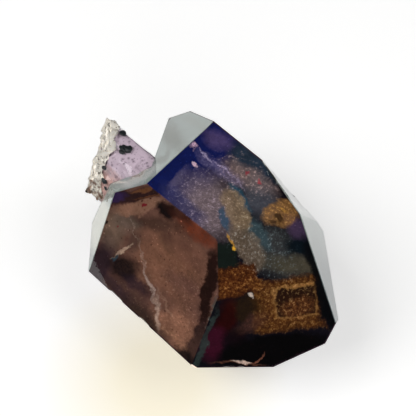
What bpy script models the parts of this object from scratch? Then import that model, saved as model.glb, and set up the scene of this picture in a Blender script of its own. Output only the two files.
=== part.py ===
"""A natural quartz sceptre: a wide faceted head grown over the end of a slimmer stem.

The crystal's length runs along +X, from the broken stem to the tip of the head, and it
rests on a flat side face of the head. Every flat face is a plane given by three numbers:
how far it is turned about the length, how far it leans towards the tip, and how far it
is from the middle line. The solid is what all the planes of a body leave over.
"""
import math
from collections import namedtuple

import bmesh
import bpy
from mathutils import Matrix, Vector

MM = 0.001
NODE = "scepter_crystal"

# Turn is in degrees from straight up towards +Y, lean in degrees towards the tip
# (below zero for faces that look back at the stem), reach in millimetres.
Face = namedtuple("Face", "turn lean reach")

RHOMB_LEAN = 38.2
SQUARE_END = 90.0

HEAD_FACES = {
    "top": Face(0.0, 0.0, 18.37),
    "front": Face(-59.6, 1.2, 14.54),
    "front_low": Face(-120.0, 0.0, 18.48),
    "under": Face(180.0, 0.0, 18.26),
    "back_low": Face(120.0, 0.0, 20.13),
    "back": Face(69.6, 1.0, 18.06),
    "back_bevel": Face(61.6, 15.0, 20.98),
    "tip_wide": Face(-28.9, 45.4, 23.32),
    "tip_back": Face(65.6, 38.0, 24.89),
    "tip_low": Face(132.6, 34.6, 25.76),
    "tip_front": Face(-56.6, 35.2, 22.63),
    "tip_front_low": Face(-120.5, 40.6, 27.65),
    "tip_under": Face(194.6, 40.0, 24.63),
    "tip_blunt": Face(108.9, 75.0, 34.94),
    "shoulder_top": Face(-3.3, -41.9, 16.14),
    "shoulder_front": Face(-61.9, -40.4, 16.84),
    "shoulder_front_low": Face(-121.0, -43.7, 19.04),
    "shoulder_back": Face(75.3, -38.3, 23.19),
    "shoulder_back_low": Face(120.0, -RHOMB_LEAN, 20.50),
    "shoulder_under": Face(180.0, -RHOMB_LEAN, 20.90),
    "rear": Face(0.0, -SQUARE_END, 18.84),
}

# The hollow round the stem, cut into the head's rear.
HOLLOW_FACES = {
    "back_wall": Face(83.2, 49.8, -5.18),
    "front_wall": Face(-82.4, 39.8, -1.66),
    "floor": Face(180.0, 44.4, -4.32),
}

# The stem's sides and the two planes of its broken end.
STEM_SHIFT = Vector((0.0, -2.75, 5.72))
STEM_SIDES = {
    "top": Face(0.0, 0.0, 8.47),
    "front": Face(-60.0, 0.0, 5.36),
    "front_low": Face(-120.0, 0.0, 6.50),
    "under": Face(180.0, 0.0, 7.90),
    "back_low": Face(120.0, 0.0, 7.50),
    "back": Face(68.0, 0.0, 6.55),
}
STEM_BREAKS = {
    "bevel": Face(-54.5, -39.8, 14.76),
    "end": Face(-65.6, -54.1, 17.93),
}
STEM_INSIDE = 4.0
STEM_AROUND = 48
LEAST_SLOPE = 0.1
CAP_RINGS = 5
SIDE_RINGS = 14

# Raggedness of the broken end and of the collar at the head, in millimetres.
BREAK_ROUGHNESS = 0.85
BREAK_SPREAD = 3.0
COLLAR_X = -9.5
COLLAR_SPREAD = 2.2
COLLAR_ROUGHNESS = 0.55
WAVES = [
    Vector((1.9, 0.7, -1.1)),
    Vector((-0.8, 2.1, 0.9)),
    Vector((0.6, -1.2, 2.4)),
    Vector((3.1, 2.7, 1.9)),
]
WAVE_STEP = 1.7
SIDE_PACE = 1.3
SIDE_START = 2.0
UP_PACE = 0.9


BLANK_HALF = 60.0
WELD = 0.0001

# Chips on the sharp edges: the three faces at either end of the edge, how far along it
# (0 to 1), and the chip's half length, width and depth in millimetres.
Chip = namedtuple("Chip", "start end along length width depth")

FAR_TOP = ("top", "back", "back_bevel")
FAR_MIDDLE = ("top", "tip_wide", "back_bevel")
FAR_LOW = ("back", "back_bevel", "tip_back")
NEAR_LEFT = ("front", "front_low", "shoulder_front")
NEAR_RIGHT = ("front", "front_low", "tip_front")
TIP_LEFT = ("front_low", "tip_front", "tip_front_low")
TIP_RIGHT = ("tip_wide", "tip_front", "tip_front_low")

CHIPS = [
    Chip(FAR_TOP, FAR_MIDDLE, 0.30, 2.2, 1.0, 0.45),
    Chip(FAR_TOP, FAR_MIDDLE, 0.62, 2.8, 1.3, 0.55),
    Chip(FAR_TOP, FAR_LOW, 0.45, 2.6, 1.2, 0.60),
    Chip(FAR_TOP, FAR_LOW, 0.72, 1.8, 1.0, 0.50),
    Chip(NEAR_LEFT, NEAR_RIGHT, 0.27, 2.0, 0.9, 0.35),
    Chip(NEAR_LEFT, NEAR_RIGHT, 0.55, 1.5, 0.8, 0.30),
    Chip(TIP_LEFT, TIP_RIGHT, 0.50, 2.2, 1.1, 0.40),
]
CHIP_WAVES = 0.18
CHIP_PACE = 2.0


def face_normal(face):
    """The outward unit normal of a face."""
    turn = math.radians(face.turn)
    lean = math.radians(face.lean)
    side = math.cos(lean)
    return Vector((math.sin(lean), side * math.sin(turn), side * math.cos(turn)))


def corner(*names):
    """The point where three faces of the head meet."""
    a, b, c = (HEAD_FACES[name] for name in names)
    na, nb, nc = (face_normal(face) for face in (a, b, c))
    point = nb.cross(nc) * a.reach + nc.cross(na) * b.reach + na.cross(nb) * c.reach
    return point / na.dot(nb.cross(nc))


def cut_from_block(faces):
    """What a block leaves over when everything outside each face is cut away."""
    solid = bmesh.new()
    bmesh.ops.create_cube(solid, size=2 * BLANK_HALF)
    for face in faces.values():
        normal = face_normal(face)
        whole = solid.verts[:] + solid.edges[:] + solid.faces[:]
        cut = bmesh.ops.bisect_plane(
            solid, geom=whole, plane_co=normal * face.reach, plane_no=normal, clear_outer=True
        )
        rim = [item for item in cut["geom_cut"] if isinstance(item, bmesh.types.BMEdge)]
        if rim:
            bmesh.ops.edgeloop_fill(solid, edges=rim)
    bmesh.ops.dissolve_degenerate(solid, dist=WELD, edges=solid.edges[:])
    bmesh.ops.recalc_face_normals(solid, faces=solid.faces[:])
    return solid


def chip_solid(chip):
    """A lumpy shell-shaped bite, laid along the edge that it breaks."""
    start = corner(*chip.start)
    run = corner(*chip.end) - start
    solid = bmesh.new()
    bmesh.ops.create_icosphere(solid, subdivisions=2, radius=1.0)
    for vert in solid.verts:
        x, y, z = vert.co * (1.0 + CHIP_WAVES * wobble(vert.co * CHIP_PACE + run).x)
        vert.co = (x * chip.length, y * chip.width, z * chip.depth)
    outward = corner(*chip.start) + run * chip.along
    outward.x = 0.0
    along_edge = run.normalized()
    across = outward.normalized().cross(along_edge).normalized()
    frame = Matrix((along_edge, across, along_edge.cross(across))).transposed()
    bmesh.ops.transform(solid, matrix=frame.to_4x4(), verts=solid.verts[:])
    bmesh.ops.translate(solid, vec=start + run * chip.along, verts=solid.verts[:])
    return solid


def ramp(value):
    """0 below 0, 1 above 1, and smooth between."""
    held = min(max(value, 0.0), 1.0)
    return held * held * (3.0 - 2.0 * held)


def wobble(point):
    """A smooth, irregular shift made of waves in mixed directions, about 1 at most."""
    shift = Vector()
    for number, wave in enumerate(WAVES):
        phase = point.dot(wave) + WAVE_STEP * number
        side = math.sin(phase * SIDE_PACE + SIDE_START)
        shift += Vector((math.sin(phase), side, math.cos(phase * UP_PACE + number)))
    return shift / len(WAVES)


def stem_radius(angle):
    """How far the stem's flat sides are from its middle line in one direction."""
    reaches = []
    for face in STEM_SIDES.values():
        slope = math.cos(angle - math.radians(face.turn))
        if slope > LEAST_SLOPE:
            reaches.append(face.reach / slope)
    return min(reaches)


def broken_x(y, z):
    """Where the broken end stands behind a point of the stem's cross-section."""
    levels = []
    for face in STEM_BREAKS.values():
        normal = face_normal(face)
        levels.append((face.reach - normal.y * y - normal.z * z) / normal.x)
    return max(levels)


def stem_ring(size, run):
    """Points round the stem: size is 0 to 1 across the broken end, run is 0 to 1 along the side."""
    ring = []
    for number in range(STEM_AROUND):
        angle = math.tau * number / STEM_AROUND
        radius = size * stem_radius(angle)
        y, z = radius * math.sin(angle), radius * math.cos(angle)
        end = broken_x(y, z)
        point = Vector((end + run * (STEM_INSIDE - end), y, z))
        ragged = BREAK_ROUGHNESS * ramp(1.0 - run * BREAK_SPREAD)
        collar = COLLAR_ROUGHNESS * ramp(1.0 - abs(point.x - COLLAR_X) / COLLAR_SPREAD)
        ring.append(point + STEM_SHIFT + wobble(point) * (ragged + collar))
    return ring


def stem_solid():
    """The slim stem: a six-sided column with a ragged, slanting broken end."""
    cap = [(number / CAP_RINGS, 0.0) for number in range(1, CAP_RINGS + 1)]
    side = [(1.0, number / SIDE_RINGS) for number in range(1, SIDE_RINGS + 1)]
    solid = bmesh.new()
    rings = [[solid.verts.new(point) for point in stem_ring(size, run)] for size, run in cap + side]
    for ring, following in zip(rings, rings[1:]):
        for number in range(STEM_AROUND):
            ahead = (number + 1) % STEM_AROUND
            solid.faces.new((ring[number], ring[ahead], following[ahead], following[number]))
    solid.faces.new(rings[0])
    solid.faces.new(rings[-1])
    bmesh.ops.triangulate(solid, faces=solid.faces[:])
    bmesh.ops.recalc_face_normals(solid, faces=solid.faces[:])
    return solid


def to_object(solid, name):
    """A millimetre bmesh as an object of the scene in metres."""
    bmesh.ops.scale(solid, vec=Vector((MM, MM, MM)), verts=solid.verts[:])
    mesh = bpy.data.meshes.new(name)
    solid.to_mesh(mesh)
    solid.free()
    item = bpy.data.objects.new(name, mesh)
    bpy.context.scene.collection.objects.link(item)
    return item


def combine(target, other, operation):
    """Adds or subtracts another solid, which then stays as a hidden tool."""
    step = target.modifiers.new(other.name, "BOOLEAN")
    step.operation = operation
    step.solver = "EXACT"
    step.object = other
    other.hide_render = True
    other.display_type = "WIRE"


def crystal_material():
    """Smoky violet quartz."""
    material = bpy.data.materials.new("smoky_amethyst")
    material.use_nodes = True
    shader = material.node_tree.nodes["Principled BSDF"]
    shader.inputs["Base Color"].default_value = (0.16, 0.09, 0.15, 1.0)
    shader.inputs["Roughness"].default_value = 0.08
    shader.inputs["Metallic"].default_value = 0.0
    return material


def clear_scene():
    for item in list(bpy.data.objects):
        bpy.data.objects.remove(item)


def stand_on_origin(crystal, tools):
    """Moves everything so that the finished form stands centred on the origin."""
    bpy.context.view_layer.update()
    finished = crystal.evaluated_get(bpy.context.evaluated_depsgraph_get())
    corners = [Vector(point) for point in finished.bound_box]
    low = Vector([min(point[axis] for point in corners) for axis in range(3)])
    high = Vector([max(point[axis] for point in corners) for axis in range(3)])
    middle = (low + high) / 2
    for item in [crystal, *tools]:
        item.location = (-middle.x, -middle.y, -low.z)


def main():
    clear_scene()
    crystal = to_object(cut_from_block(HEAD_FACES), NODE)
    crystal.data.materials.append(crystal_material())
    hollow = to_object(cut_from_block(HOLLOW_FACES), "hollow_cutter")
    combine(crystal, hollow, "DIFFERENCE")
    stem = to_object(stem_solid(), "stem_tool")
    combine(crystal, stem, "UNION")
    tools = [hollow, stem]
    for number, chip in enumerate(CHIPS):
        bite = to_object(chip_solid(chip), f"chip_cutter_{number}")
        combine(crystal, bite, "DIFFERENCE")
        tools.append(bite)
    stand_on_origin(crystal, tools)


main()
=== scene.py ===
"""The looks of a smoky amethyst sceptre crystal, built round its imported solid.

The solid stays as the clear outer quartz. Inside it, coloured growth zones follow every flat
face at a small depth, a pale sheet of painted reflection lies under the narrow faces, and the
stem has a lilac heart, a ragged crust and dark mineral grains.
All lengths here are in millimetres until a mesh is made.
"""
import math
from collections import namedtuple

import bpy
import numpy as np
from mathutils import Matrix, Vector


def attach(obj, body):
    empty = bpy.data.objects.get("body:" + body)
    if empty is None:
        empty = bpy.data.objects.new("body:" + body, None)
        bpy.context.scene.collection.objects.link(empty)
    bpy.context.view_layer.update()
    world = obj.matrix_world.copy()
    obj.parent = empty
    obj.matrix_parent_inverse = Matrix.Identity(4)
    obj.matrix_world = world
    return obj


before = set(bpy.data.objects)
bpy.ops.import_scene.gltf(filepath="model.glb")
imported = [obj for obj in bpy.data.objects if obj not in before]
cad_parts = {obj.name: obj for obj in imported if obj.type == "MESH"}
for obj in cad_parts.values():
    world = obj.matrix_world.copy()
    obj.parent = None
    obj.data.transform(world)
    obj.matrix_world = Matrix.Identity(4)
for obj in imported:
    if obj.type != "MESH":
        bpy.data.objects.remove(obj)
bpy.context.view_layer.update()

bl_info = {
    "name": "Amethyst Sceptre",
    "version": (1, 0, 0),
    "blender": (4, 5, 0),
    "location": "View3D > Sidebar > Sceptre",
    "description": "Dresses the solid of a smoky amethyst sceptre with its growth zones, stem and crust",
    "category": "Object",
}

MM = 0.001
NODE = "scepter_crystal"
BODY = "root"

# A run longer than any in the crystal, and the least slope that still counts as one.
FAR = 1e6
LEAST_SLOPE = 1e-6

# Where the head's middle point stands in the frame.
MIDDLE = np.array([-3.6811, -0.8489, 18.26])

# Each flat face of the head: turned about the length, leaning to the tip, distance from the middle.
Face = namedtuple("Face", "turn lean reach")
HEAD_FACES = {
    "top": Face(0.0, 0.0, 18.37),
    "front": Face(-59.6, 1.2, 14.54),
    "front_low": Face(-120.0, 0.0, 18.48),
    "under": Face(180.0, 0.0, 18.26),
    "back_low": Face(120.0, 0.0, 20.13),
    "back": Face(69.6, 1.0, 18.06),
    "back_bevel": Face(61.6, 15.0, 20.98),
    "tip_wide": Face(-28.9, 45.4, 23.32),
    "tip_back": Face(65.6, 38.0, 24.89),
    "tip_low": Face(132.6, 34.6, 25.76),
    "tip_front": Face(-56.6, 35.2, 22.63),
    "tip_front_low": Face(-120.5, 40.6, 27.65),
    "tip_under": Face(194.6, 40.0, 24.63),
    "tip_blunt": Face(108.9, 75.0, 34.94),
    "shoulder_top": Face(-3.3, -41.9, 16.14),
    "shoulder_front": Face(-61.9, -40.4, 16.84),
    "shoulder_front_low": Face(-121.0, -43.7, 19.04),
    "shoulder_back": Face(75.3, -38.3, 23.19),
    "shoulder_back_low": Face(120.0, -38.2, 20.50),
    "shoulder_under": Face(180.0, -38.2, 20.90),
    "rear": Face(0.0, -90.0, 18.84),
}
BLUE_SIDE = ("top", "tip_wide", "tip_front")
BROWN_SIDE = ("front",)
PALE_SIDE = ("shoulder_top", "shoulder_front", "back_bevel", "tip_back")
DARK_SIDE = tuple(name for name in HEAD_FACES if name not in BLUE_SIDE + BROWN_SIDE + PALE_SIDE)

# The planes of the hollow round the stem: its two walls, then its floor.
HOLLOW_FACES = (Face(83.2, 49.8, -5.18), Face(-82.4, 39.8, -1.66), Face(180.0, 44.4, -4.32))
HOLLOW_WALLS = 2

# A sheet's search square and its steps, then the rings of the sheet and the points round each.
SEARCH_HALF = 42.0
SEARCH_STEPS = 121
SHEET_RINGS = 22
SHEET_AROUND = 216
NEAR_UPRIGHT = 0.9

# The stem's flat sides and the planes of its broken end.
STEM_SHIFT = np.array([0.0, -2.75, 5.72])
STEM_SIDES = (
    Face(0.0, 0.0, 8.47),
    Face(-60.0, 0.0, 5.36),
    Face(-120.0, 0.0, 6.50),
    Face(180.0, 0.0, 7.90),
    Face(120.0, 0.0, 7.50),
    Face(68.0, 0.0, 6.55),
)
STEM_BREAKS = (Face(-54.5, -39.8, 14.76), Face(-65.6, -54.1, 17.93))
STEM_INSIDE = 4.0
SIDE_LEAST_SLOPE = 0.1
BREAK_ROUGHNESS = 0.85
BREAK_SPREAD = 3.0
COLLAR_X = -9.5
COLLAR_SPREAD = 2.2
COLLAR_ROUGHNESS = 0.55

# The waves that make the stem uneven: their directions, and how their phases differ.
WAVES = np.array([[1.9, 0.7, -1.1], [-0.8, 2.1, 0.9], [0.6, -1.2, 2.4], [3.1, 2.7, 1.9]])
WAVE_STEP = 1.7
SIDE_PACE, SIDE_START = 1.3, 2.0
UP_PACE = 0.9

# The lilac heart: its share of the solid's radius, where it starts and ends along the stem, and
# its points across the broken end, along the sides, across the inner end and round.
HEART_SIZE = 0.94
HEART_START, HEART_END = 0.03, 0.72
HEART_CAP, HEART_SIDE, HEART_FOOT, HEART_AROUND = 14, 30, 6, 120

# The crust: the side where it runs further up, how far round that goes and how much it adds;
# then its least run, its rise over the stem, the ruffles over it and its points.
CRUST_TURN = -85.0
CRUST_REACH = 55.0
CRUST_SPREAD = 0.09
CRUST_LEAST_RUN = 0.02
CRUST_RISE = 0.12
CRUST_INNER_SIZE = 0.97
CRUST_CAP, CRUST_SIDE, CRUST_FOOT, CRUST_AROUND = 30, 12, 5, 200
Ripple = namedtuple("Ripple", "count depth shift")
CRUST_EDGE = (Ripple(3, 0.5, 1.0), Ripple(7, 0.3, 0.0), Ripple(13, 0.2, 2.0))
Ruffle = namedtuple("Ruffle", "pace depth")
CRUST_RUFFLES = (Ruffle(2.6, 0.12), Ruffle(6.0, 0.08))
CRUST_FADE = 1.2
CRUST_POLE = 4.0

# Dark grains on the stem: share of the stem's run, turn around it, and half sizes in millimetres.
Grain = namedtuple("Grain", "run turn length width height")
GRAINS = (
    Grain(0.12, 18.0, 0.9, 0.7, 0.3),
    Grain(0.17, 6.0, 1.25, 0.7, 0.3),
    Grain(0.21, 9.0, 0.8, 0.75, 0.3),
    Grain(0.14, 2.0, 0.7, 0.4, 0.22),
    Grain(0.09, -56.0, 0.7, 0.45, 0.25),
    Grain(0.14, -70.0, 0.45, 0.35, 0.2),
    Grain(0.24, -62.0, 0.3, 0.25, 0.15),
    Grain(0.05, -30.0, 0.5, 0.35, 0.25),
)
GRAIN_RINGS, GRAIN_AROUND = 14, 24
GRAIN_RUFFLE = Ruffle(1.7, 0.35)
GRAIN_RISE = 0.05

# The standing point from which the zones are laid out: a plain perspective view, in picture points.
VIEW_TURN = 44.317
VIEW_RISE = 57.391
VIEW_AWAY = 185.33
VIEW_AIM = MIDDLE + np.array([0.0, 8.80, -3.63])
VIEW_FOCUS = 899.7
VIEW_CENTRE = np.array([217.12, 209.80])
PICTURE = 416.0
SENSOR = 36.0
NEAR_CLIP = 0.01

# How straight patch rims are made uneven: noise scales, with the reach of each in picture points.
PICTURE_SWAY = ((0.045, 16.0), (0.16, 6.0), (0.6, 2.5))
SWAY_DETAIL, SWAY_ROUGHNESS = 3.0, 0.6

# Noise in the materials: the size of its lumps in millimetres, its detail and its roughness.
Noise = namedtuple("Noise", "size detail roughness", defaults=(3.0, 0.55))
GRAIN_NOISE = Noise(0.6, 6.0, 0.85)
CLOUD_NOISE = Noise(2.6, 6.0, 0.65)
FLECK_NOISE = Noise(5.0)
GROWTH_NOISE = Noise(1.6, 2.0)
HEART_NOISE = Noise(3.0, 4.0)
LUMP_NOISE = Noise(1.1, 6.0, 0.75)
STAIN_NOISE = Noise(1.5, 6.0, 0.75)
MINERAL_NOISE = Noise(0.5)

# Where grains leave gaps in a patch, where only the highest show, and how sharply.
GAP_LEVEL, GAP_SHARPNESS = 0.51, 6.0
PEAK_LEVEL, PEAK_SHARPNESS = 0.56, 14.0

# Round dots: their spacing in millimetres, and their radius as a share of it.
Dots = namedtuple("Dots", "spacing radius")
DIRT_DOTS = (Dots(1.2, 0.19), Dots(2.7, 0.12))
FLECK_DOTS = (Dots(0.9, 0.17), Dots(2.2, 0.11))
HEART_DOTS = (Dots(0.6, 0.3), Dots(1.1, 0.36))
HEART_DOT_COVER = 0.85

ZONE_LIFT = 1.1
ZONE_CONTRAST = 3.0
ZONE_DARKEST = 0.05
ZONE_ROUGHNESS = 0.75
FLECK_LIFT = 4.5
FLECK_LEVEL, FLECK_SHARPNESS = 0.42, 5.0

# Clear quartz: its index and density, how the growth lines are stretched, and their bump.
QUARTZ_INDEX = 1.544
QUARTZ_DENSITY = 60.0
QUARTZ_ROUGHNESS = 0.02
GROWTH_STRETCH = (0.25, 2.2, 2.2)
GROWTH_STRENGTH, GROWTH_DEPTH = 0.06, 0.04

# The paper, and the warm light that the stone throws on it.
PAPER_HALF = 190.0
PAPER_NEAR = 37.0
PAPER_FAR = 200.0
PAPER_GLOW = 0.45
PAPER_TINT = (0.96, 0.96, 0.955, 1.0)
PAPER_ROUGHNESS = 0.9
WARM_SPOT = (9.9, -22.4, 0.0)
WARM_REACH = 26.0
WARM_COVER = 1.4
WARM_TINT = (0.90, 0.84, 0.68, 1.0)

# The soft lights: where each stands and its width in millimetres, and its power.
Lamp = namedtuple("Lamp", "name spot width power")
LAMPS = (
    Lamp("key_light", (-260.0, -420.0, 620.0), 520.0, 2.9),
    Lamp("fill_light", (420.0, 330.0, 620.0), 520.0, 1.8),
    Lamp("side_light", (520.0, -420.0, 420.0), 420.0, 1.0),
)
ROOM_LIGHT = 0.03
WHITE = (1.0, 1.0, 1.0, 1.0)


def colour(red, green, blue):
    """A screen colour, 0 to 255, as the linear colour that shaders use."""
    parts = np.array([red, green, blue]) / 255.0
    linear = np.where(parts <= 0.04045, parts / 12.92, ((parts + 0.055) / 1.055) ** 2.4)
    return (*[float(part) for part in linear], 1.0)


DIRT_TINT = colour(34, 12, 12)

# A coloured patch inside the quartz: middle, half length and half width in picture points,
# turn in degrees, how soft its rim is, its colour, how strongly it covers, its form and how
# much grains break it up. Later patches lie over earlier ones.
Patch = namedtuple("Patch", "x y length width turn soft tint cover form grain", defaults=("round", 0.0))

BLUE_PATCHES = [
    # The deep blue field, with violet, grey and teal clouds at its edges.
    Patch(186, 164, 66, 30, -42, 0.55, colour(15, 24, 76), 1.0),
    Patch(252, 166, 26, 14, 40, 0.7, colour(40, 52, 66), 0.9),
    Patch(217, 140, 16, 8, 30, 0.9, colour(80, 66, 104), 0.75),
    Patch(207, 206, 30, 26, 60, 0.9, colour(124, 108, 112), 0.9, "round", 0.3),
    Patch(178, 180, 15, 4, -52, 0.8, colour(86, 78, 104), 0.7),
    Patch(184, 206, 26, 9, 38, 0.7, colour(52, 52, 90), 0.7),
    Patch(250, 178, 28, 10, 32, 0.8, colour(136, 114, 108), 0.75, "round", 0.4),
    Patch(222, 170, 26, 5, 36, 0.9, colour(116, 106, 138), 0.6, "round", 0.5),
    Patch(260, 200, 20, 14, 45, 0.9, colour(70, 72, 80), 0.8),
    Patch(240, 197, 17, 5, 55, 0.5, colour(40, 70, 86), 0.85),
    Patch(224, 218, 4, 12, -25, 0.5, colour(44, 72, 94), 0.8),
    Patch(278, 252, 30, 20, 35, 0.8, colour(66, 68, 68), 0.9, "round", 0.35),
    Patch(258, 234, 17, 8, 60, 0.5, colour(58, 76, 82), 0.85),
    Patch(300, 246, 14, 12, 0, 0.9, colour(5, 18, 26), 0.95),
    Patch(296, 226, 14, 8, 40, 0.9, colour(78, 60, 88), 0.7),
    # The two sandy bars that stand upright, and the golden ring.
    Patch(236, 209, 23, 11, 60, 0.25, colour(126, 106, 82), 0.95, "round", 0.35),
    Patch(247, 247, 27, 12, 56, 0.30, colour(114, 98, 82), 0.9, "round", 0.4),
    Patch(281, 213, 19, 13, -14, 0.3, colour(134, 96, 54), 0.95, "round", 0.45),
    # The olive strip and the near-black gap beside it.
    Patch(293, 265, 28, 9, 10, 0.9, colour(78, 72, 58), 0.85),
    Patch(224, 256, 11, 13, -10, 0.3, colour(20, 28, 24), 0.97, "square"),
    # The two golden squares, with the sunken pocket in the larger one.
    Patch(238, 281, 22, 15, -14, 0.22, colour(50, 22, 9), 0.97, "square"),
    Patch(288, 304, 34, 26, -6, 0.18, colour(54, 27, 11), 0.97, "square"),
    Patch(238, 281, 21, 14, -14, 0.3, colour(126, 72, 30), 0.62, "square", 0.95),
    Patch(287, 304, 33, 25, -6, 0.25, colour(130, 84, 38), 0.66, "square", 0.95),
    Patch(295, 301, 23, 15.5, -7, 0.14, colour(168, 122, 68), 0.85, "square", 0.5),
    Patch(295.5, 302, 21, 13.2, -7, 0.12, colour(30, 13, 8), 0.97, "square"),
    Patch(297, 307, 17, 9, -12, 0.6, colour(120, 72, 38), 0.8, "round", 0.9),
    # The brightest grains in the squares, the bars, the ring and the clouds.
    Patch(238, 281, 20, 14, -14, 0.5, colour(206, 150, 84), 0.5, "square", -1.0),
    Patch(287, 304, 33, 25, -6, 0.5, colour(206, 162, 104), 0.48, "square", -1.0),
    Patch(236, 209, 22, 11, 60, 0.5, colour(190, 168, 132), 0.6, "round", -1.0),
    Patch(247, 247, 26, 12, 56, 0.5, colour(180, 162, 140), 0.6, "round", -1.0),
    Patch(281, 213, 18, 13, -14, 0.5, colour(206, 160, 96), 0.6, "round", -1.0),
    Patch(205, 200, 30, 26, 60, 0.8, colour(176, 160, 176), 0.6, "round", -1.0),
    Patch(262, 246, 36, 22, 40, 0.8, colour(128, 146, 150), 0.6, "round", -1.0),
    Patch(246, 176, 30, 16, 32, 0.8, colour(190, 164, 160), 0.7, "round", -1.0),
    # The brown, red and magenta depths, then the black rims.
    Patch(243, 309, 20, 11, -12, 0.5, colour(42, 28, 12), 0.9, "round", 0.3),
    Patch(249, 325, 18, 7, -24, 0.7, colour(80, 50, 40), 0.7, "round", 0.4),
    Patch(250, 297, 3.4, 1.8, 20, 0.6, colour(216, 200, 186), 0.9),
    Patch(226, 318, 9, 17, 18, 0.7, colour(44, 6, 5), 0.92),
    Patch(213, 343, 11, 17, 20, 0.7, colour(62, 14, 34), 0.92),
    Patch(236, 340, 10, 12, 20, 0.8, colour(20, 6, 12), 0.85),
    Patch(272, 352, 58, 17, -8, 0.3, colour(4, 3, 4), 0.98),
    Patch(325, 292, 58, 9, 71, 0.4, colour(5, 6, 9), 0.97),
    # The teal seam and the thin pale flakes by the lower rim.
    Patch(205, 340, 32, 2.6, 112, 0.5, colour(48, 58, 56), 0.85),
    Patch(236, 362, 24, 1.6, 2, 0.6, colour(112, 72, 56), 0.8, "round", 0.6),
    Patch(240, 361.5, 9, 1.5, 3, 0.5, colour(236, 208, 190), 0.9, "round", 0.5),
    Patch(257, 357, 9, 1.2, -40, 0.6, colour(150, 96, 76), 0.8, "round", 0.5),
    # Pink and white wisps in the blue, and red spots.
    Patch(193, 148, 3.2, 2.2, 30, 0.7, colour(226, 186, 206), 0.85, "round", 0.6),
    Patch(195, 164, 3.2, 2.0, 60, 0.7, colour(230, 196, 206), 0.85, "round", 0.6),
    Patch(207, 156, 9, 0.9, 42, 0.8, colour(200, 184, 212), 0.7, "round", 0.8),
    Patch(226, 170, 16, 0.8, 38, 0.8, colour(176, 162, 190), 0.7, "round", 0.8),
    Patch(240, 184, 10, 0.8, 50, 0.8, colour(160, 146, 170), 0.6, "round", 0.8),
    Patch(248, 174, 2.4, 1.6, 0, 0.7, colour(150, 50, 64), 0.8),
    Patch(262, 181, 2.4, 1.4, 30, 0.7, colour(160, 56, 66), 0.8),
    # Golden sparks beside the bar, the dark middle of the ring, and a painted golden highlight on the ring.
    Patch(231, 241, 8, 1.0, 62, 0.6, colour(190, 140, 56), 0.8, "round", 0.4),
    Patch(233, 249, 2.6, 1.4, 62, 0.6, colour(236, 180, 60), 0.9),
    Patch(277, 217, 5, 3.4, 30, 0.5, colour(12, 8, 8), 0.95, "round", 0.4),
    Patch(284, 210, 5, 1.6, 20, 0.6, colour(196, 146, 66), 0.7, "round", 0.6),
    Patch(272, 222, 4, 1.4, 40, 0.6, colour(16, 12, 12), 0.9, "round", 0.4),
]

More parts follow.
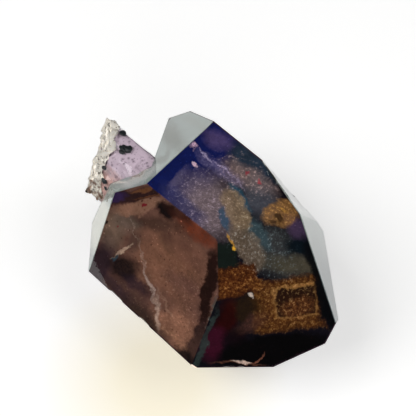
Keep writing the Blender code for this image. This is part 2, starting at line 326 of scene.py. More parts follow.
BROWN_PATCHES = [
    # The brown body, in broad lighter and darker clouds.
    Patch(170, 262, 40, 32, 50, 0.9, colour(124, 86, 66), 0.9, "round", 0.25),
    Patch(176, 325, 32, 16, 58, 0.8, colour(144, 102, 80), 0.85, "round", 0.3),
    Patch(136, 314, 38, 13, 45, 0.9, colour(46, 34, 30), 0.95, "round", 0.2),
    Patch(113, 232, 11, 20, 10, 0.8, colour(110, 90, 76), 0.85),
    Patch(99, 266, 14, 26, 20, 0.8, colour(38, 26, 34), 0.92),
    Patch(134, 196, 36, 6.5, -12, 0.45, colour(40, 24, 24), 0.95),
    Patch(116, 199, 11, 4, -14, 0.6, colour(50, 34, 72), 0.85),
    Patch(144, 190, 14, 1.6, -10, 0.7, colour(110, 70, 44), 0.75),
    Patch(150, 196, 14, 1.2, -10, 0.7, colour(96, 58, 36), 0.7),
    Patch(150, 222, 28, 7, 10, 0.9, colour(62, 44, 36), 0.75),
    Patch(185, 250, 22, 9, 50, 0.9, colour(86, 56, 48), 0.6, "round", 0.4),
    Patch(186, 228, 20, 7, 35, 0.9, colour(66, 40, 30), 0.7, "round", 0.4),
    Patch(166, 236, 14, 6, 70, 0.9, colour(58, 40, 34), 0.6, "round", 0.4),
    Patch(128, 224, 12, 9, 20, 0.9, colour(98, 84, 74), 0.7),
    Patch(134, 243, 7, 10, 20, 0.9, colour(58, 46, 42), 0.7, "round", 0.3),
    Patch(184, 284, 20, 8, 30, 0.9, colour(84, 58, 56), 0.6, "round", 0.5),
    Patch(118, 288, 18, 5, 42, 0.9, colour(52, 36, 44), 0.8, "round", 0.3),
    Patch(176, 338, 22, 3, 40, 0.8, colour(168, 124, 96), 0.5, "round", 0.6),
    # Its brightest and darkest grains.
    Patch(180, 300, 60, 40, 50, 0.9, colour(168, 130, 108), 0.5, "round", -1.0),
    Patch(140, 250, 40, 40, 50, 0.9, colour(40, 26, 24), 0.4, "round", -1.0),
    Patch(160, 300, 18, 9, 20, 0.9, colour(74, 50, 48), 0.6, "round", 0.4),
    # The long pale capsule by the upper rim, and the black hollows.
    Patch(141, 207, 26, 6.4, -15, 0.35, colour(128, 94, 76), 0.95),
    Patch(168, 209, 9, 8, 40, 0.6, colour(12, 8, 10), 0.95),
    Patch(124, 268, 15, 12, 35, 0.7, colour(14, 9, 12), 0.97, "round", 0.15),
    Patch(136, 285, 16, 6, 40, 0.9, colour(34, 24, 36), 0.75),
    # The pale splinter, and the cracks that run down the face.
    Patch(122, 252, 12, 1.8, -38, 0.5, colour(176, 150, 128), 0.9, "round", 0.3),
    Patch(116, 257.5, 5, 1.8, -38, 0.4, colour(36, 54, 64), 0.95),
    Patch(134, 229, 16, 0.9, 74, 0.8, colour(150, 130, 114), 0.45, "round", 0.7),
    Patch(143, 258, 18, 0.9, 79, 0.8, colour(156, 136, 122), 0.5, "round", 0.7),
    Patch(149, 284, 18, 1.5, 70, 0.8, colour(186, 166, 154), 0.7, "round", 0.5),
    Patch(158, 312, 17, 2.0, 86, 0.8, colour(176, 152, 136), 0.75, "round", 0.4),
    Patch(166, 305, 16, 1.2, 60, 0.8, colour(160, 126, 104), 0.5, "round", 0.6),
    # The rust-red upper corner, and the dark rims.
    Patch(200, 231, 28, 7, 38, 0.9, colour(110, 50, 28), 0.85, "round", 0.35),
    Patch(180, 213, 16, 5, 38, 0.8, colour(50, 26, 20), 0.8),
    Patch(209, 290, 44, 6.5, 101, 0.4, colour(20, 5, 4), 0.92),
    Patch(207, 333, 36, 2.6, 108, 0.5, colour(66, 72, 68), 0.85),
    Patch(196, 345, 24, 5, 112, 0.6, colour(48, 32, 30), 0.85),
    Patch(148, 333, 60, 4.5, 43, 0.6, colour(20, 11, 9), 0.92),
    Patch(184, 359, 14, 9, 45, 0.6, colour(16, 11, 12), 0.92),
    # Red and black specks.
    Patch(147, 205, 2.6, 1.2, -30, 0.5, colour(110, 18, 34), 0.9),
    Patch(151, 200, 1.0, 0.9, 0, 0.5, colour(60, 20, 20), 0.9),
    Patch(146, 201, 0.9, 0.9, 0, 0.5, colour(60, 20, 20), 0.9),
    Patch(118, 229, 1.4, 1.1, 0, 0.5, colour(110, 22, 40), 0.8),
    Patch(107, 221, 2.0, 1.6, 0, 0.5, colour(10, 8, 10), 0.9),
]

PALE_PATCHES = [
    # Painted reflection: the white front shoulder, the greyer tip and the white back bevel stand in for
    # light that the glass reflects.
    Patch(101, 226, 46, 16, 72, 0.6, colour(206, 207, 197), 0.95),
    Patch(330, 296, 44, 13, 74, 0.9, colour(94, 107, 109), 0.95),
    Patch(284, 187, 34, 10, 52, 0.5, colour(214, 220, 214), 0.95),
    # Smoky and rusty smears on the shoulders.
    Patch(172, 136, 17, 9, 50, 0.9, colour(108, 112, 104), 0.8),
    Patch(118, 183.5, 10, 1.6, 0, 0.8, colour(226, 220, 210), 0.8, "round", 0.3),
    Patch(140, 173, 14, 1.8, -36, 0.8, colour(206, 200, 190), 0.8, "round", 0.4),
    Patch(136, 175, 8, 0.9, -34, 0.8, colour(110, 76, 60), 0.8, "round", 0.6),
    Patch(148, 166, 6, 1.2, -30, 0.8, colour(120, 84, 66), 0.7, "round", 0.6),
    Patch(196, 124, 18, 5, 30, 0.9, colour(142, 148, 142), 0.6),
    Patch(162, 158, 12, 4, -48, 0.8, colour(100, 98, 90), 0.7, "round", 0.5),
    Patch(140, 178, 24, 2.4, -30, 0.8, colour(190, 192, 186), 0.6),
    # Dark streaks on the back bevel.
    Patch(287, 185, 32, 7, 52, 0.4, colour(24, 28, 26), 0.95, "round", 0.8),
    Patch(291, 190, 15, 3.0, 56, 0.35, colour(18, 18, 16), 0.97, "round", 0.25),
    Patch(271, 171, 9, 3.0, 48, 0.35, colour(16, 18, 16), 0.97, "round", 0.2),
    Patch(297, 200, 6, 2.0, 60, 0.6, colour(80, 74, 64), 0.8, "round", 0.5),
    Patch(302, 207, 8, 1.2, 40, 0.6, colour(110, 100, 90), 0.8),
]


# A growth zone: its piece, faces and patches, then how strongly clouds and grains change it, how
# bright its flecks are and how dark its dirt is.
Zone = namedtuple("Zone", "name faces patches mottle grain spark dirt")
BLUE_ZONE = Zone("blue_zone", BLUE_SIDE, BLUE_PATCHES, 0.38, 0.40, 0.6, 0.35)
BROWN_ZONE = Zone("brown_zone", BROWN_SIDE, BROWN_PATCHES, 0.48, 0.32, 0.7, 0.8)
SMOKY_ZONE = Zone("smoky_zone", DARK_SIDE, (), 0.5, 0.3, 0.3, 0.0)
# A pale sheet of painted reflection under the narrow faces, standing in for light that the glass reflects.
PAINTED_REFLECTION_ZONE = Zone("painted_reflection_sheet", PALE_SIDE, PALE_PATCHES, 0.14, 0.10, 0.0, 0.0)


class Wire:
    """A node's output, so that shader sums can be written as ordinary expressions."""

    def __init__(self, board, socket):
        self.board = board
        self.socket = socket

    def _sum(self, operation, *terms):
        return self.board.add("ShaderNodeMath", {"operation": operation}, terms)

    def __add__(self, other):
        return self._sum("ADD", self, other)

    def __radd__(self, other):
        return self._sum("ADD", other, self)

    def __sub__(self, other):
        return self._sum("SUBTRACT", self, other)

    def __rsub__(self, other):
        return self._sum("SUBTRACT", other, self)

    def __mul__(self, other):
        return self._sum("MULTIPLY", self, other)

    def __rmul__(self, other):
        return self._sum("MULTIPLY", other, self)

    def __truediv__(self, other):
        return self._sum("DIVIDE", self, other)

    def held(self):
        """Kept between 0 and 1."""
        return self.board.add("ShaderNodeClamp", {}, (self, 0.0, 1.0))

    def larger(self, other):
        """The larger of two numbers."""
        return self._sum("MAXIMUM", self, other)


class Board:
    """One material's node tree, with short ways to add nodes to it."""

    def __init__(self, name):
        self.material = bpy.data.materials.new(name)
        self.material.use_nodes = True
        self.tree = self.material.node_tree
        self.shader = self.tree.nodes["Principled BSDF"]
        self.output = self.tree.nodes["Material Output"]

    def plug(self, value, socket):
        """Links a wire to a socket, or sets the socket to a plain value."""
        if isinstance(value, Wire):
            self.tree.links.new(value.socket, socket)
        elif socket.type == "VECTOR":
            socket.default_value = tuple(value)[:3]
        else:
            socket.default_value = value

    def finish(self, **values):
        """Plugs the shader's sockets, named with underscores for spaces, and gives the material."""
        for name, value in values.items():
            self.plug(value, self.shader.inputs[name.replace("_", " ")])
        return self.material

    def add(self, kind, settings, values, result=0):
        """Adds a node: its settings first, then its inputs in order or by name."""
        node = self.tree.nodes.new(kind)
        for name, value in settings.items():
            setattr(node, name, value)
        pairs = values.items() if isinstance(values, dict) else enumerate(values)
        for key, value in pairs:
            self.plug(value, node.inputs[key])
        return Wire(self, node.outputs[result])

    def vector(self, operation, values, result=0):
        """Vector arithmetic, by the operation's name."""
        return self.add("ShaderNodeVectorMath", {"operation": operation}, values, result)

    def axis(self, point, index):
        """One number of a point: 0, 1 or 2 for its first, second or third."""
        return self.add("ShaderNodeSeparateXYZ", {}, (point,), index)

    def blend(self, first, second, share):
        """The first colour turning into the second as the share goes from 0 to 1."""
        values = {"Factor": share, 6: first, 7: second}
        return self.add("ShaderNodeMix", {"data_type": "RGBA", "clamp_factor": True}, values, 2)

    def shade(self, tint, strength):
        """A colour made lighter or darker by a number."""
        return self.vector("SCALE", {0: tint, "Scale": strength})

    def place(self):
        """The point on the piece in millimetres."""
        point = self.add("ShaderNodeTexCoord", {}, (), "Object")
        return self.vector("SCALE", {0: point, "Scale": 1.0 / MM})

    def cloud(self, point, noise):
        """Soft noise, 0 to 1, whose lumps are about the noise's size."""
        values = {
            "Vector": point,
            "Scale": 1.0 / noise.size,
            "Detail": noise.detail,
            "Roughness": noise.roughness,
        }
        return self.add("ShaderNodeTexNoise", {}, values, "Fac")

    def specks(self, point, dots):
        """Small round dots: 1 in the middle of a dot and 0 outside."""
        values = {"Vector": point, "Scale": 1.0 / dots.spacing}
        distance = self.add("ShaderNodeTexVoronoi", {}, values, "Distance")
        return (1.0 - distance / dots.radius).held()

    def bump(self, height, strength, depth):
        """A surface normal that follows a height, with the depth in millimetres."""
        values = {"Height": height, "Strength": strength, "Distance": depth * MM}
        return self.add("ShaderNodeBump", {}, values)

    def picture_point(self):
        """The piece's own map in picture points, its straight lines made a little uneven."""
        flat = self.add("ShaderNodeUVMap", {"uv_map": "picture"}, ())
        scaled = self.vector("SCALE", {0: flat, "Scale": PICTURE})
        swayed = scaled
        for scale, reach in PICTURE_SWAY:
            values = {"Vector": scaled, "Scale": scale, "Detail": SWAY_DETAIL, "Roughness": SWAY_ROUGHNESS}
            sway = self.add("ShaderNodeTexNoise", {}, values, "Color")
            centred = self.vector("SUBTRACT", (sway, (0.5, 0.5, 0.5)))
            swayed = self.vector("ADD", (swayed, self.shade(centred, reach)))
        return swayed

    def patch_share(self, patch, point):
        """How much of a patch covers the point: 1 in its middle and 0 past its soft rim."""
        values = {
            "Vector": point,
            "Location": (patch.x, PICTURE - patch.y, 0.0),
            "Rotation": (0.0, 0.0, -math.radians(patch.turn)),
            "Scale": (patch.length, patch.width, 1.0),
        }
        local = self.add("ShaderNodeMapping", {"vector_type": "TEXTURE"}, values)
        flat = self.vector("MULTIPLY", (local, (1.0, 1.0, 0.0)))
        if patch.form == "square":
            size = self.vector("ABSOLUTE", (flat,))
            distance = self.axis(size, 0).larger(self.axis(size, 1))
        else:
            distance = self.vector("LENGTH", (flat,), "Value")
        return ((1.0 - distance) / patch.soft + 0.5).held() * patch.cover

    def patched(self, ground, patches, point, grains):
        """The ground colour with every patch laid over it in order.

        A grain above 0 leaves gaps in a patch; one below 0 leaves only its highest grains.
        """
        tint = ground
        for patch in patches:
            share = self.patch_share(patch, point)
            if patch.grain < 0.0:
                share = share * ((grains - PEAK_LEVEL) * PEAK_SHARPNESS).held()
            elif patch.grain:
                share = share * (1.0 - patch.grain * ((GAP_LEVEL - grains) * GAP_SHARPNESS + 0.5).held())
            tint = self.blend(tint, patch.tint, share)
        return tint


def face_normal(face):
    """The outward direction of a face, from its turn about the length and its lean to the tip."""
    turn, lean = math.radians(face.turn), math.radians(face.lean)
    side = math.cos(lean)
    return np.array([math.sin(lean), side * math.sin(turn), side * math.cos(turn)])


HEAD_ORDER = list(HEAD_FACES)
HEAD_NORMALS = np.array([face_normal(face) for face in HEAD_FACES.values()])
HEAD_REACHES = np.array([face.reach for face in HEAD_FACES.values()])
HOLLOW_NORMALS = np.array([face_normal(face) for face in HOLLOW_FACES])
HOLLOW_REACHES = np.array([face.reach for face in HOLLOW_FACES])


def view_axes():
    """Right, up and back of the standing point, from its turn about the upright and its rise."""
    turn, rise = math.radians(VIEW_TURN), math.radians(VIEW_RISE)
    flat = math.cos(rise)
    back = np.array([math.sin(turn) * flat, -math.cos(turn) * flat, math.sin(rise)])
    right = np.array([math.cos(turn), math.sin(turn), 0.0])
    return right, np.cross(back, right), back


def picture_map(points):
    """Where frame points fall in the picture, as shares of its width counted from the lower left.

    Each is the point's offset to the right or upwards, over its depth, times the focus.
    """
    right, up, back = view_axes()
    offset = points - VIEW_AIM
    depth = VIEW_AWAY - offset @ back
    across = VIEW_CENTRE[0] + VIEW_FOCUS * (offset @ right) / depth
    down = VIEW_CENTRE[1] - VIEW_FOCUS * (offset @ up) / depth
    return np.stack([across / PICTURE, 1.0 - down / PICTURE], axis=-1)


def hollow_entry(start, rays, margin):
    """How far each ray runs before the hollow: the last plane entered, if none is left first."""
    gaps = HOLLOW_REACHES + margin - HOLLOW_NORMALS @ start
    slopes = rays @ HOLLOW_NORMALS.T
    crossing = gaps / np.where(np.abs(slopes) < LEAST_SLOPE, LEAST_SLOPE, slopes)
    entry = np.where(slopes < 0.0, crossing, 0.0).max(axis=1)
    leaving = np.where(slopes > 0.0, crossing, FAR).min(axis=1)
    return np.where((entry < leaving) & (entry > 0.0), entry, FAR)


def plane_sheet(normal, reach, walls, limits, margin=None):
    """A sheet on one plane, shut in by walls.

    From a middle point, each direction in the plane runs to the nearest wall, and the rings
    step evenly out along it. With a margin, it also stops short of the hollow, and then its
    middle point is one that both arms round the hollow can be seen from.
    """
    first = np.cross(normal, [0.0, 0.0, 1.0] if abs(normal[2]) < NEAR_UPRIGHT else [1.0, 0.0, 0.0])
    first = first / np.linalg.norm(first)
    second = np.cross(normal, first)
    steps = np.linspace(-SEARCH_HALF, SEARCH_HALF, SEARCH_STEPS)
    spots = normal * reach + steps[:, None, None] * first + steps[None, :, None] * second
    inside = (spots @ walls.T <= limits).all(axis=-1)
    middle = spots[inside].mean(axis=0)
    if margin is not None and (HOLLOW_NORMALS @ middle <= HOLLOW_REACHES + margin).all():
        sides = spots @ HOLLOW_NORMALS[:HOLLOW_WALLS].T
        beyond = inside & (sides > HOLLOW_REACHES[:HOLLOW_WALLS] + margin).all(axis=-1)
        if not beyond.any():
            return None
        middle = spots[beyond].mean(axis=0)
    angle = np.linspace(0.0, math.tau, SHEET_AROUND, endpoint=False)
    rays = np.cos(angle)[:, None] * first + np.sin(angle)[:, None] * second
    slopes = rays @ walls.T
    gaps = (limits - walls @ middle) / np.maximum(slopes, LEAST_SLOPE)
    runs = np.where(slopes > LEAST_SLOPE, gaps, FAR).min(axis=1)
    if margin is not None:
        runs = np.minimum(runs, hollow_entry(middle, rays, margin))
    out = np.linspace(0.0, 1.0, SHEET_RINGS)
    return middle + out[:, None, None] * runs[None, :, None] * rays[None, :, :] + MIDDLE


def face_sheet(name, depth):
    """The sheet at a depth under one of the head's faces, the other faces being its walls."""
    index = HEAD_ORDER.index(name)
    others = np.arange(len(HEAD_ORDER)) != index
    limits = HEAD_REACHES[others] - depth
    return plane_sheet(HEAD_NORMALS[index], HEAD_REACHES[index] - depth, HEAD_NORMALS[others], limits, depth)


def wall_sheet(index, depth):
    """The sheet at a depth behind one wall of the hollow, shut in by the head's faces."""
    others = np.arange(len(HOLLOW_FACES)) != index
    walls = np.concatenate([HEAD_NORMALS, HOLLOW_NORMALS[others]])
    limits = np.concatenate([HEAD_REACHES - depth, HOLLOW_REACHES[others] + depth])
    return plane_sheet(HOLLOW_NORMALS[index], HOLLOW_REACHES[index] + depth, walls, limits)


def ring_faces(rings, around, start=0, closed_end=False):
    """Quads between neighbouring rings; the first ring, and the last if closed, is a single point."""
    last_ring = rings - (2 if closed_end else 1)
    ring, step = np.meshgrid(np.arange(1, last_ring), np.arange(around), indexing="ij")
    ahead = (step + 1) % around
    base = start + 1 + (ring - 1) * around
    quads = np.stack([base + step, base + ahead, base + around + ahead, base + around + step], -1)
    step = np.arange(around)
    ahead = (step + 1) % around
    pole = np.stack([np.full(around, start), start + 1 + ahead, start + 1 + step], -1)
    faces = quads.reshape(-1, 4).tolist() + pole.tolist()
    if closed_end:
        last = start + 1 + (last_ring - 1) * around
        end = np.full(around, last + around)
        faces += np.stack([end, last + step, last + ahead], -1).tolist()
    return faces


def ring_points(grid, closed_end=False):
    """The grid's points with each pole kept once."""
    body = grid[1:-1] if closed_end else grid[1:]
    parts = [grid[0, :1], body.reshape(-1, 3)]
    if closed_end:
        parts.append(grid[-1, :1])
    return np.concatenate(parts)


def make_piece(name, grids, material, closed_end=False, smooth=False):
    """One piece made of one or more grids, at the origin, with its picture map and finish.

    A grid that is None would lie in the hollow and is left out.
    """
    parts, faces, start = [], [], 0
    for grid in grids:
        if grid is not None:
            parts.append(ring_points(grid, closed_end))
            faces += ring_faces(grid.shape[0], grid.shape[1], start, closed_end)
            start += len(parts[-1])
    points = np.concatenate(parts)
    mesh = bpy.data.meshes.new(name)
    mesh.from_pydata((points * MM).tolist(), [], faces)
    mesh.materials.append(material)
    layer = mesh.uv_layers.new(name="picture")
    corner = np.empty(len(mesh.loops), dtype=np.int32)
    mesh.loops.foreach_get("vertex_index", corner)
    layer.data.foreach_set("uv", picture_map(points)[corner].astype(np.float32).ravel())
    mesh.polygons.foreach_set("use_smooth", np.full(len(mesh.polygons), smooth))
    mesh.update()
    piece = bpy.data.objects.new(name, mesh)
    bpy.context.scene.collection.objects.link(piece)
    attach(piece, BODY)
    return piece


def ramp(value):
    """0 below 0, 1 above 1, and smooth between: three squares less two cubes."""
    held = np.clip(value, 0.0, 1.0)
    return held * held * (3.0 - 2.0 * held)


def wobble(points):
    """A smooth, irregular shift made of waves in mixed directions, about 1 at most."""
    shift = np.zeros_like(points)
    for number, wave in enumerate(WAVES):
        phase = points @ wave + WAVE_STEP * number
        side = np.sin(phase * SIDE_PACE + SIDE_START)
        shift += np.stack([np.sin(phase), side, np.cos(phase * UP_PACE + number)], -1)
    return shift / len(WAVES)


def stem_radius(angle):
    """The six-sided outline: the nearest of the flat sides in each direction."""
    turns = np.radians([face.turn for face in STEM_SIDES])
    reaches = np.array([face.reach for face in STEM_SIDES])
    slopes = np.cos(angle[..., None] - turns)
    runs = reaches / np.maximum(slopes, SIDE_LEAST_SLOPE)
    return np.where(slopes > SIDE_LEAST_SLOPE, runs, FAR).min(axis=-1)


def broken_x(y, z):
    """The broken end behind a point of the cross-section: the higher of its two planes."""
    levels = []
    for face in STEM_BREAKS:
        normal = face_normal(face)
        levels.append((face.reach - normal[1] * y - normal[2] * z) / normal[0])
    return np.maximum(*levels)


def stem_surface(size, run, angle, swell=0.0):
    """The solid's stem surface, swollen outwards by a few tenths of a millimetre.

    The size, 0 to 1, goes out over the six-sided outline, and the run, 0 to 1, from the broken
    end to inside the head. Waves roughen the broken end and the collar where the head begins.
    """
    radius = size * stem_radius(angle)
    y, z = radius * np.sin(angle), radius * np.cos(angle)
    end = broken_x(y, z)
    point = np.stack([end + run * (STEM_INSIDE - end), y, z], axis=-1)
    ragged = BREAK_ROUGHNESS * ramp(1.0 - run * BREAK_SPREAD)
    collar = COLLAR_ROUGHNESS * ramp(1.0 - np.abs(point[..., 0] - COLLAR_X) / COLLAR_SPREAD)
    outward = np.stack([np.full_like(y, -1.0), np.sin(angle) * size, np.cos(angle) * size], axis=-1)
    moved = point + wobble(point) * (ragged + collar)[..., None] + outward * swell
    return moved + STEM_SHIFT + MIDDLE


def heart_surface():
    """The stem's heart: out over the broken end at one run, along the sides, and in at another."""
    size = np.concatenate([
        np.linspace(0.0, HEART_SIZE, HEART_CAP),
        np.full(HEART_SIDE, HEART_SIZE),
        np.linspace(HEART_SIZE, 0.0, HEART_FOOT),
    ])
    run = np.concatenate([
        np.full(HEART_CAP, HEART_START),
        np.linspace(HEART_START, HEART_END, HEART_SIDE),
        np.full(HEART_FOOT, HEART_END),
    ])
    around = np.linspace(0.0, math.tau, HEART_AROUND, endpoint=False)
    sizes, angles = np.meshgrid(size, around, indexing="ij")
    runs = np.broadcast_to(run[:, None], sizes.shape)
    return stem_surface(sizes, runs, angles)


def crust_surface(width):
    """The crust: out over the broken end, along the sides as far as its ragged edge, and back in.

    The edge is the width times one plus three sine waves round the stem, and it runs further on
    one side. Two sizes of ruffles roughen it, less towards the edge and none at the pole.
    """
    around = np.linspace(0.0, math.tau, CRUST_AROUND, endpoint=False)
    waves = sum(ripple.depth * np.sin(ripple.count * around + ripple.shift) for ripple in CRUST_EDGE)
    turned = np.degrees(np.angle(np.exp(1j * (around - math.radians(CRUST_TURN)))))
    edge = width * (1.0 + waves) + CRUST_SPREAD * ramp(1.0 - np.abs(turned) / CRUST_REACH)
    size = np.concatenate([
        np.linspace(0.0, 1.0, CRUST_CAP),
        np.ones(CRUST_SIDE),
        np.linspace(CRUST_INNER_SIZE, 0.0, CRUST_FOOT),
    ])[:, None]
    along = np.concatenate([
        np.zeros(CRUST_CAP),
        np.linspace(0.0, 1.0, CRUST_SIDE),
        np.ones(CRUST_FOOT),
    ])[:, None]
    run = along * np.maximum(edge, CRUST_LEAST_RUN)
    sizes, angles = np.broadcast_arrays(size, around[None, :])
    grid = stem_surface(sizes, run, angles, CRUST_RISE)
    ruffles = sum(wobble(grid * ruffle.pace) * ruffle.depth for ruffle in CRUST_RUFFLES)
    return grid + ruffles * ramp(CRUST_FADE - along)[..., None] * ramp(size * CRUST_POLE)[..., None]


def grain_surface(grain):
    """A lumpy ball: the sphere's two angles, stretched three ways and ruffled by waves."""
    polar = np.linspace(0.0, math.pi, GRAIN_RINGS)
    around = np.linspace(0.0, math.tau, GRAIN_AROUND, endpoint=False)
    polar, around = np.meshgrid(polar, around, indexing="ij")
    ball = np.stack([np.cos(polar), np.sin(polar) * np.sin(around), np.sin(polar) * np.cos(around)], -1)
    ball = ball * (1.0 + GRAIN_RUFFLE.depth * wobble(ball * GRAIN_RUFFLE.pace + grain.turn)[..., :1])
    angle = math.radians(grain.turn)
    seat = stem_surface(np.array(1.0), np.array(grain.run), np.array(angle), GRAIN_RISE)
    outward = np.array([0.0, math.sin(angle), math.cos(angle)])
    across = np.array([0.0, math.cos(angle), -math.sin(angle)])
    length = np.array([1.0, 0.0, 0.0])
    stretched = ball[..., :1] * length * grain.length + ball[..., 1:2] * across * grain.width
    return seat + stretched + ball[..., 2:] * outward * grain.height


class SceptreSizes(bpy.types.PropertyGroup):
    zone_depth: bpy.props.FloatProperty(
        name="Zone depth",
        description="How deep the coloured growth zones lie under the wide faces",
        default=0.25 * MM,
        unit="LENGTH",
    )
    shoulder_depth: bpy.props.FloatProperty(
        name="Shoulder depth",
        description="How deep the pale haze lies under the narrow faces",
        default=0.2 * MM,
        unit="LENGTH",
    )
    crust_width: bpy.props.FloatProperty(
        name="Crust width",
        description="How far the crust runs up the stem, as a share of the stem's length",
        default=0.035,
        subtype="FACTOR",
    )


def colour_property(name, description, default):
    """A colour that the user can change."""
    return bpy.props.FloatVectorProperty(
        name=name, description=description, default=default, subtype="COLOR", size=4
    )


class SceptreColours(bpy.types.PropertyGroup):
    quartz_smoke: colour_property("Quartz smoke", "What clear quartz lets through", (0.72, 0.62, 0.76, 1.0))
    blue_ground: colour_property("Blue ground", "What lies behind the blue zone", colour(14, 12, 20))
    brown_ground: colour_property("Brown ground", "What lies behind the brown zone", colour(98, 68, 58))
    smoky_ground: colour_property("Smoky ground", "The faces under and behind", colour(70, 48, 62))
    # Painted reflection: the pale colour that stands in for light reflected by the narrow faces.
    painted_reflection: colour_property("Reflection", "The pale haze of the narrow faces", colour(150, 160, 156))
    lilac: colour_property("Lilac", "The stem's heart", colour(198, 181, 193))
    beige: colour_property("Beige", "The warmer front of the stem's heart", colour(198, 160, 152))
    crust: colour_property("Crust", "The pale crust of the broken end", colour(252, 246, 234))
    mineral: colour_property("Mineral", "The dark grains on the stem", colour(34, 40, 42))


def quartz_material(smoke):
    """Clear quartz: full transmission, its own index, a faint smoke inside and fine growth lines."""
    board = Board("clear_quartz")
    stretched = board.vector("MULTIPLY", (board.place(), GROWTH_STRETCH))
    lines = board.cloud(stretched, GROWTH_NOISE)
    inside = board.add("ShaderNodeVolumeAbsorption", {}, {"Color": smoke, "Density": QUARTZ_DENSITY})
    board.plug(inside, board.output.inputs["Volume"])
    return board.finish(
        Base_Color=WHITE,
        Roughness=QUARTZ_ROUGHNESS,
        IOR=QUARTZ_INDEX,
        Transmission_Weight=1.0,
        Normal=board.bump(lines, GROWTH_STRENGTH, GROWTH_DEPTH),
    )


def zone_material(zone, ground):
    """A growth zone, or the sheet of painted reflection: patches of colour, broken up by clouds and grains,
    with bright and dark flecks.
    """
    board = Board(zone.name)
    point = board.place()
    grains = board.cloud(point, GRAIN_NOISE)
    clouds = board.cloud(point, CLOUD_NOISE)
    tint = board.patched(ground, zone.patches, board.picture_point(), grains)
    cloudy = zone.mottle * (clouds - 0.5) * ZONE_CONTRAST
    grainy = zone.grain * (grains - 0.5) * ZONE_CONTRAST
    tint = board.shade(tint, (ZONE_LIFT + cloudy + grainy).larger(ZONE_DARKEST))
    fleck_area = ((board.cloud(point, FLECK_NOISE) - FLECK_LEVEL) * FLECK_SHARPNESS).held()
    for dots in DIRT_DOTS:
        tint = board.blend(tint, DIRT_TINT, board.specks(point, dots) * zone.dirt)
    for dots in FLECK_DOTS:
        flecks = board.specks(point, dots) * fleck_area * zone.spark
        tint = board.blend(tint, board.shade(tint, FLECK_LIFT), flecks)
    return board.finish(Base_Color=tint, Roughness=ZONE_ROUGHNESS, Specular_IOR_Level=0.0)


def lilac_material(lilac, beige):
    """The stem's heart: lilac on top and warmer beige in front, with small dark specks."""
    board = Board("lilac_heart")
    point = board.place()
    clouds = board.cloud(point, HEART_NOISE)
    front_y, front_width = -6.1, 1.2
    front = ((front_y - board.axis(point, 1)) / front_width + clouds - 0.5).held()
    tint = board.shade(board.blend(lilac, beige, front), 0.8 + 0.4 * clouds)
    for dots in HEART_DOTS:
        tint = board.blend(tint, colour(80, 60, 78), board.specks(point, dots) * HEART_DOT_COVER)
    return board.finish(Base_Color=tint, Roughness=0.6, Normal=board.bump(clouds, 0.3, 0.2))


def crust_material(pale):
    """Pale rough crust, stained brown, more so at the low front, with amber spots and dark pits."""
    board = Board("stem_crust")
    point = board.place()
    lumps = board.cloud(point, LUMP_NOISE)
    stain = board.cloud(point, STAIN_NOISE)
    low_y, low_width = -5.5, 5.0
    low = ((low_y - board.axis(point, 1)) / low_width).held()
    brown, amber, pit = colour(118, 88, 70), colour(176, 112, 44), colour(28, 22, 22)
    tint = board.blend(pale, brown, ((stain + low * 0.2 - 0.60) * 8.0).held())
    tint = board.blend(tint, amber, ((low + lumps * 2.0 - 2.0) * 5.0).held() * 0.7)
    tint = board.blend(tint, pit, ((0.44 - lumps) * 12.0).held())
    tint = board.shade(tint, 0.84 + 0.6 * lumps)
    return board.finish(Base_Color=tint, Roughness=0.85, Normal=board.bump(lumps, 0.9, 0.4))


def mineral_material(mineral):
    """Small black-green mineral lumps."""
    board = Board("dark_grains")
    lumps = board.cloud(board.place(), MINERAL_NOISE)
    tint = board.shade(mineral, 0.6 + 0.8 * lumps)
    return board.finish(Base_Color=tint, Roughness=0.4, Normal=board.bump(lumps, 0.5, 0.15))


def paper_material():
    """Matt white studio paper, a little warmer where light comes through the stone."""
    board = Board("studio_paper")
    away = board.vector("DISTANCE", (board.place(), WARM_SPOT), "Value")
    share = ((1.0 - away / WARM_REACH) * WARM_COVER).held()
    tint = board.blend(PAPER_TINT, WARM_TINT, share)
    return board.finish(
        Base_Color=tint,
        Roughness=PAPER_ROUGHNESS,
        Specular_IOR_Level=0.0,
        Emission_Color=board.shade(tint, 1.0 / PAPER_TINT[0]),
        Emission_Strength=PAPER_GLOW,
    )


def set_paper():
    """One flat sheet on the ground, square to the view."""
    right = view_axes()[0]
    across = right * PAPER_HALF
    away = np.cross([0.0, 0.0, 1.0], right)
    near, far = away * -PAPER_NEAR, away * PAPER_FAR
    corners = np.array([near - across, near + across, far + across, far - across]) * MM
    mesh = bpy.data.meshes.new("paper")
    mesh.from_pydata(corners.tolist(), [], [(0, 1, 2, 3)])
    mesh.materials.append(paper_material())
    paper = bpy.data.objects.new("paper", mesh)
    bpy.context.scene.collection.objects.link(paper)


def set_lamp(lamp):
    """A square soft light that looks at the crystal."""
    data = bpy.data.lights.new(lamp.name, "AREA")
    data.size = lamp.width * MM
    data.energy = lamp.power
    item = bpy.data.objects.new(lamp.name, data)
    item.location = Vector(lamp.spot) * MM
    item.rotation_euler = (-Vector(lamp.spot)).to_track_quat("-Z", "Y").to_euler()
    bpy.context.scene.collection.objects.link(item)


def set_camera():
    """The camera at the standing point, looking along its axis, with the frame slightly shifted."""
    back = view_axes()[2]
    data = bpy.data.cameras.new("camera")
    data.sensor_width = SENSOR
    data.lens = VIEW_FOCUS * SENSOR / PICTURE
    data.clip_start = NEAR_CLIP
    data.shift_x = -(VIEW_CENTRE[0] - PICTURE / 2) / PICTURE
    data.shift_y = (VIEW_CENTRE[1] - PICTURE / 2) / PICTURE
    item = bpy.data.objects.new("camera", data)
    item.location = Vector((VIEW_AIM + back * VIEW_AWAY) * MM)
    item.rotation_euler = Vector(-back).to_track_quat("-Z", "Y").to_euler()
    bpy.context.scene.collection.objects.link(item)
    bpy.context.scene.camera = item


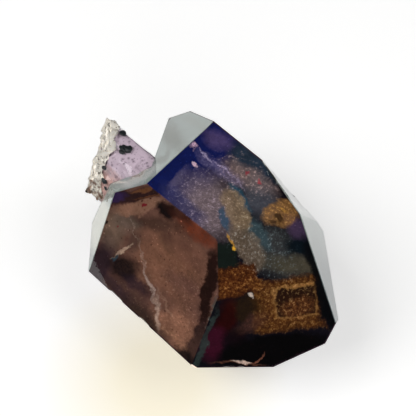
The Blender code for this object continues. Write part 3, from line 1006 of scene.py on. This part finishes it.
class SCEPTRE_OT_quartz(bpy.types.Operator):
    """Give the solid its clear quartz"""

    bl_idname = "sceptre.quartz"
    bl_label = "Clear quartz"

    def execute(self, context):
        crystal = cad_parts[NODE]
        material = quartz_material(tuple(context.scene.sceptre_colours.quartz_smoke))
        for place in crystal.material_slots:
            place.material = material
        crystal.visible_shadow = False
        return {"FINISHED"}


class SCEPTRE_OT_zones(bpy.types.Operator):
    """Lay the coloured growth zones under the head's faces, and the painted reflection under the narrow
    faces and the hollow's walls
    """

    bl_idname = "sceptre.zones"
    bl_label = "Growth zones"

    def execute(self, context):
        colours = context.scene.sceptre_colours
        zone_depth = context.scene.sceptre_sizes.zone_depth / MM
        reflection_depth = context.scene.sceptre_sizes.shoulder_depth / MM
        grounds = (colours.blue_ground, colours.brown_ground, colours.smoky_ground)
        for zone, ground in zip((BLUE_ZONE, BROWN_ZONE, SMOKY_ZONE), grounds):
            sheets = [face_sheet(name, zone_depth) for name in zone.faces]
            make_piece(zone.name, sheets, zone_material(zone, tuple(ground)))
        # The narrow faces and the hollow's walls get a pale sheet of painted reflection.
        sheets = [face_sheet(name, reflection_depth) for name in PAINTED_REFLECTION_ZONE.faces]
        sheets += [wall_sheet(index, reflection_depth) for index in range(len(HOLLOW_FACES))]
        make_piece(PAINTED_REFLECTION_ZONE.name, sheets, zone_material(PAINTED_REFLECTION_ZONE, tuple(colours.painted_reflection)))
        return {"FINISHED"}


class SCEPTRE_OT_stem(bpy.types.Operator):
    """Fill the stem with its lilac heart"""

    bl_idname = "sceptre.stem"
    bl_label = "Stem heart"

    def execute(self, context):
        colours = context.scene.sceptre_colours
        material = lilac_material(tuple(colours.lilac), tuple(colours.beige))
        make_piece("stem_heart", [heart_surface()], material, closed_end=True, smooth=True)
        return {"FINISHED"}


class SCEPTRE_OT_crust(bpy.types.Operator):
    """Cover the broken end with its ragged crust"""

    bl_idname = "sceptre.crust"
    bl_label = "Stem crust"

    def execute(self, context):
        surface = crust_surface(context.scene.sceptre_sizes.crust_width)
        material = crust_material(tuple(context.scene.sceptre_colours.crust))
        make_piece("stem_crust", [surface], material, closed_end=True, smooth=True)
        return {"FINISHED"}


class SCEPTRE_OT_grains(bpy.types.Operator):
    """Set the dark mineral grains on the stem"""

    bl_idname = "sceptre.grains"
    bl_label = "Dark grains"

    def execute(self, context):
        surfaces = [grain_surface(grain) for grain in GRAINS]
        material = mineral_material(tuple(context.scene.sceptre_colours.mineral))
        make_piece("dark_grains", surfaces, material, closed_end=True, smooth=True)
        return {"FINISHED"}


class SCEPTRE_OT_stage(bpy.types.Operator):
    """Set the paper, the soft lights and the camera"""

    bl_idname = "sceptre.stage"
    bl_label = "Studio"

    def execute(self, context):
        set_camera()
        set_paper()
        for lamp in LAMPS:
            set_lamp(lamp)
        world = bpy.data.worlds.new("studio")
        world.use_nodes = True
        background = world.node_tree.nodes["Background"]
        background.inputs["Color"].default_value = WHITE
        background.inputs["Strength"].default_value = ROOM_LIGHT
        context.scene.world = world
        context.scene.view_settings.view_transform = "Standard"
        return {"FINISHED"}


OPERATORS = (
    SCEPTRE_OT_quartz,
    SCEPTRE_OT_zones,
    SCEPTRE_OT_stem,
    SCEPTRE_OT_crust,
    SCEPTRE_OT_grains,
    SCEPTRE_OT_stage,
)


class SCEPTRE_PT_panel(bpy.types.Panel):
    """The sizes, the colours and a button for each step"""

    bl_label = "Sceptre"
    bl_idname = "SCEPTRE_PT_panel"
    bl_space_type = "VIEW_3D"
    bl_region_type = "UI"
    bl_category = "Sceptre"

    def draw(self, context):
        for group in (context.scene.sceptre_sizes, context.scene.sceptre_colours):
            for name in group.__annotations__:
                self.layout.prop(group, name)
        for operator in OPERATORS:
            self.layout.operator(operator.bl_idname)


CLASSES = (SceptreSizes, SceptreColours, *OPERATORS, SCEPTRE_PT_panel)


def register():
    for item in CLASSES:
        bpy.utils.register_class(item)
    bpy.types.Scene.sceptre_sizes = bpy.props.PointerProperty(type=SceptreSizes)
    bpy.types.Scene.sceptre_colours = bpy.props.PointerProperty(type=SceptreColours)


def unregister():
    del bpy.types.Scene.sceptre_colours
    del bpy.types.Scene.sceptre_sizes
    for item in reversed(CLASSES):
        bpy.utils.unregister_class(item)


def main():
    register()
    bpy.ops.sceptre.quartz()
    bpy.ops.sceptre.zones()
    bpy.ops.sceptre.stem()
    bpy.ops.sceptre.crust()
    bpy.ops.sceptre.grains()
    bpy.ops.sceptre.stage()


if __name__ == "__main__":
    main()
